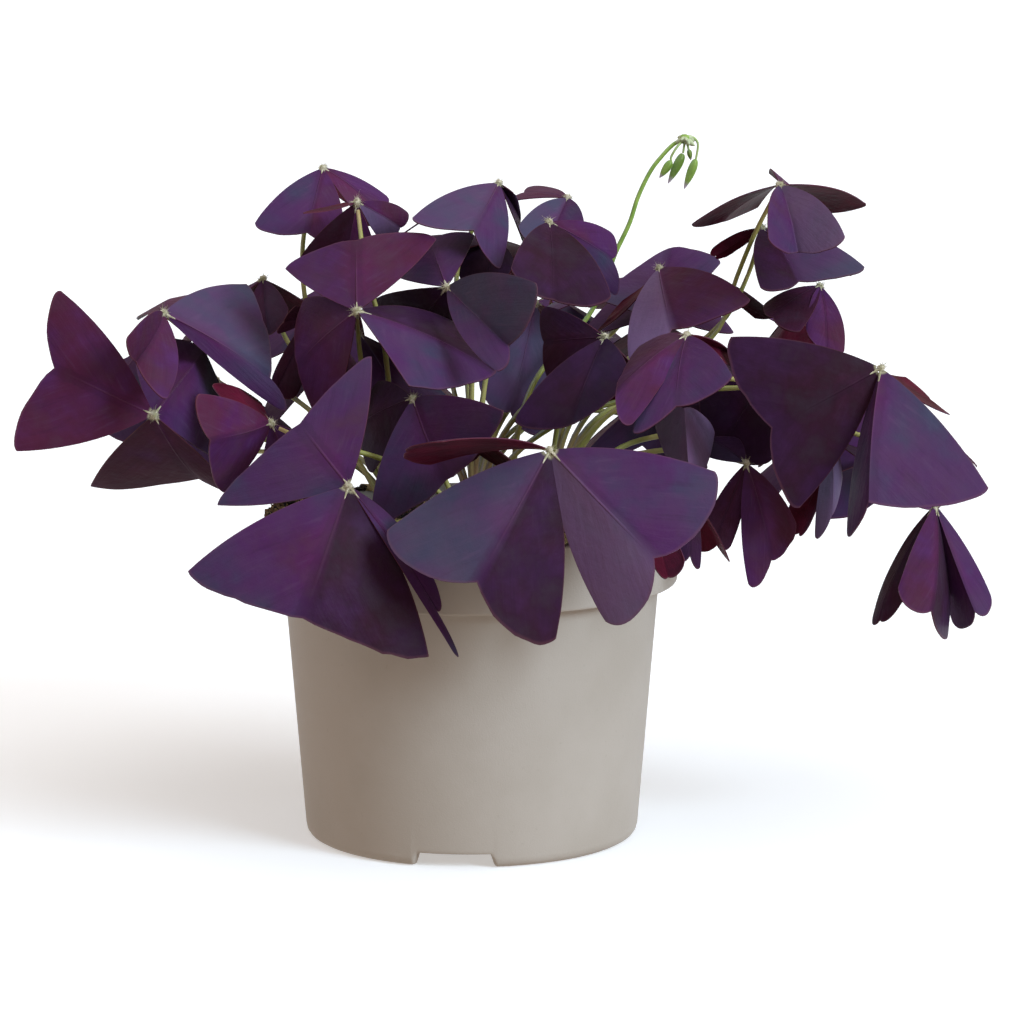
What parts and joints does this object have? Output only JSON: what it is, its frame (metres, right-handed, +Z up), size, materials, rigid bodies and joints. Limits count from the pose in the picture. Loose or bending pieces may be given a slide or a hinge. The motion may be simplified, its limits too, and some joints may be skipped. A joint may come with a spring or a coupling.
{
  "type": "potted house plant",
  "caption": "Purple shamrock house plant with three-part triangular leaves on thin stalks in a round tapered grower's pot with a collar rim.",
  "frame": {"origin": "middle of the whole plant's bounding box at floor level, under the pot's foot", "axes": "+Z up; the side seen in the reference view faces -Y; +X to its right"},
  "size_m": [0.2826, 0.2446, 0.2025],
  "materials": {
    "pot": "matt moulded greige plastic",
    "soil": "crumbly dark potting soil",
    "leaf": "soft satin deep purple blade",
    "stalk": "satin yellow green stalk",
    "flower_stalk": "satin fresh green stalk and buds"
  },
  "bodies": {
    "root": {"flower_stalk": "flower_stalk", "leaf_a": "leaf", "leaf_aa": "leaf", "leaf_b": "leaf", "leaf_b1": "leaf", "leaf_b10": "leaf", "leaf_b11": "leaf", "leaf_b2": "leaf", "leaf_b3": "leaf", "leaf_b4": "leaf", "leaf_b6": "leaf", "leaf_b7": "leaf", "leaf_b9": "leaf", "leaf_c": "leaf", "leaf_cc": "leaf", "leaf_d": "leaf", "leaf_dd": "leaf", "leaf_e": "leaf", "leaf_f": "leaf", "leaf_ff": "leaf", "leaf_g": "leaf", "leaf_h": "leaf", "leaf_i": "leaf", "leaf_j": "leaf", "leaf_k": "leaf", "leaf_l": "leaf", "leaf_m": "leaf", "leaf_n": "leaf", "leaf_nn": "leaf", "leaf_o": "leaf", "leaf_p": "leaf", "leaf_q": "leaf", "leaf_r": "leaf", "leaf_s": "leaf", "leaf_t": "leaf", "leaf_u": "leaf", "leaf_v": "leaf", "leaf_w": "leaf", "leaf_x": "leaf", "leaf_y": "leaf", "leaf_z": "leaf", "pot": "pot", "soil": "soil", "stalks_0": "stalk", "stalks_1": "stalk", "stalks_2": "stalk", "stalks_3": "stalk", "stalks_4": "stalk", "stalks_5": "stalk", "stalks_6": "stalk"}
  },
  "joints": []
}
